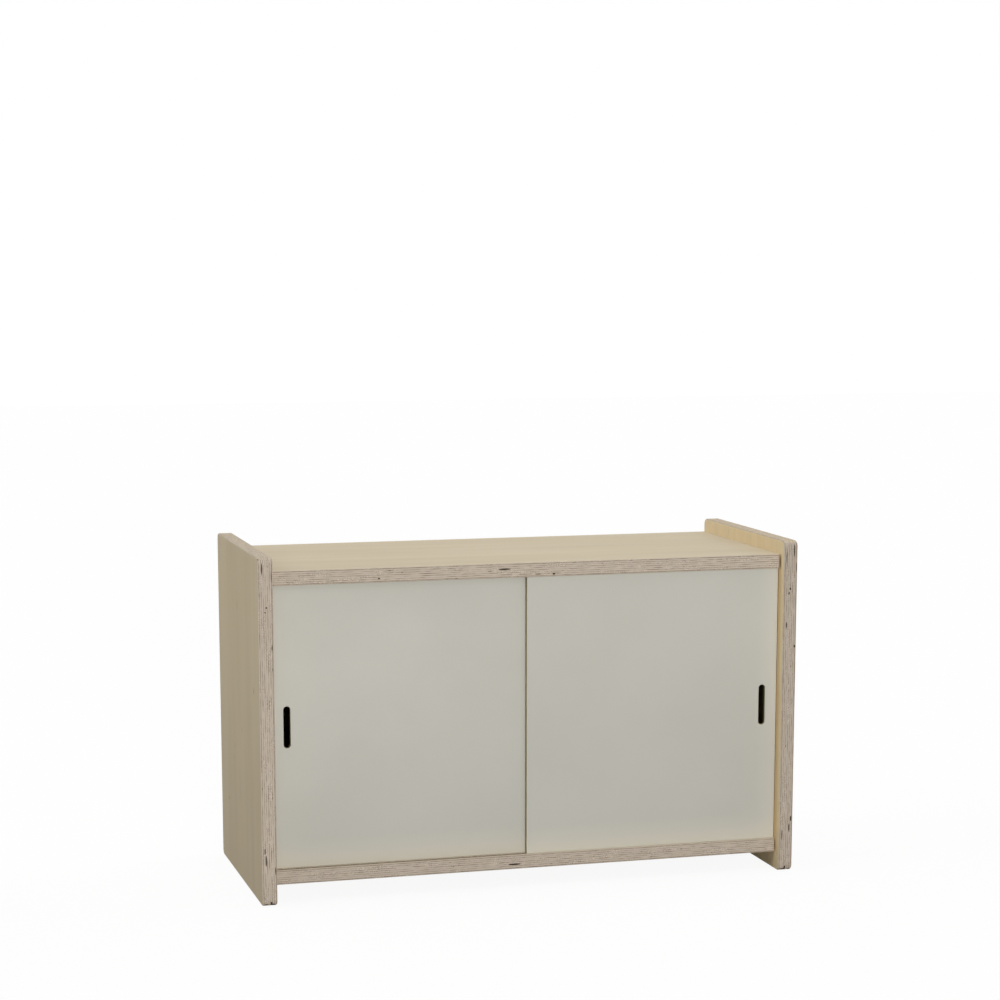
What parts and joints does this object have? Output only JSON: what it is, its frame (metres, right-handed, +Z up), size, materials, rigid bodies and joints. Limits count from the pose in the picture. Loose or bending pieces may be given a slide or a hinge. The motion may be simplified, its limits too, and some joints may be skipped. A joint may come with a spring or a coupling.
{
  "type": "sliding door cabinet",
  "caption": "Low plywood cabinet on side-panel feet, with thin flat doors that slide past each other in routed grooves and have narrow upright finger slots.",
  "frame": {"origin": "on the floor under the middle of the cabinet", "axes": "+X to the right along the front, +Y from the front to the back, +Z up"},
  "size_m": [0.8, 0.338, 0.495],
  "materials": {
    "birch_plywood": "clear matt oil on birch plywood, edges bare",
    "door_laminate": "thin board faced with smooth matt greige laminate",
    "beech": "plain turned beech",
    "nickelled_steel": "nickel plated",
    "zinc_alloy": "die cast"
  },
  "bodies": {
    "carcass": {"side_left": "birch_plywood", "side_right": "birch_plywood", "top_panel": "birch_plywood", "bottom_panel": "birch_plywood", "back_panel": "birch_plywood", "shelf": "birch_plywood", "shelf_pin_left_front": "nickelled_steel", "shelf_pin_left_back": "nickelled_steel", "shelf_pin_right_front": "nickelled_steel", "shelf_pin_right_back": "nickelled_steel", "dowels_top_left": "beech", "dowels_top_right": "beech", "dowels_bottom_left": "beech", "dowels_bottom_right": "beech", "cam_bolts_top_left": "nickelled_steel", "cam_bolts_top_right": "nickelled_steel", "cam_bolts_bottom_left": "nickelled_steel", "cam_bolts_bottom_right": "nickelled_steel", "cam_locks_top_left": "zinc_alloy", "cam_locks_top_right": "zinc_alloy", "cam_locks_bottom_left": "zinc_alloy", "cam_locks_bottom_right": "zinc_alloy"},
    "front_track_door": {"right_door": "door_laminate"},
    "rear_track_door": {"left_door": "door_laminate"}
  },
  "joints": [
    {"name": "right_door_slide", "type": "slide", "parent": "carcass", "child": "front_track_door", "axis": [-1, 0, 0], "range_m": [0, 0.372]},
    {"name": "left_door_slide", "type": "slide", "parent": "carcass", "child": "rear_track_door", "axis": [1, 0, 0], "range_m": [0, 0.372]}
  ]
}
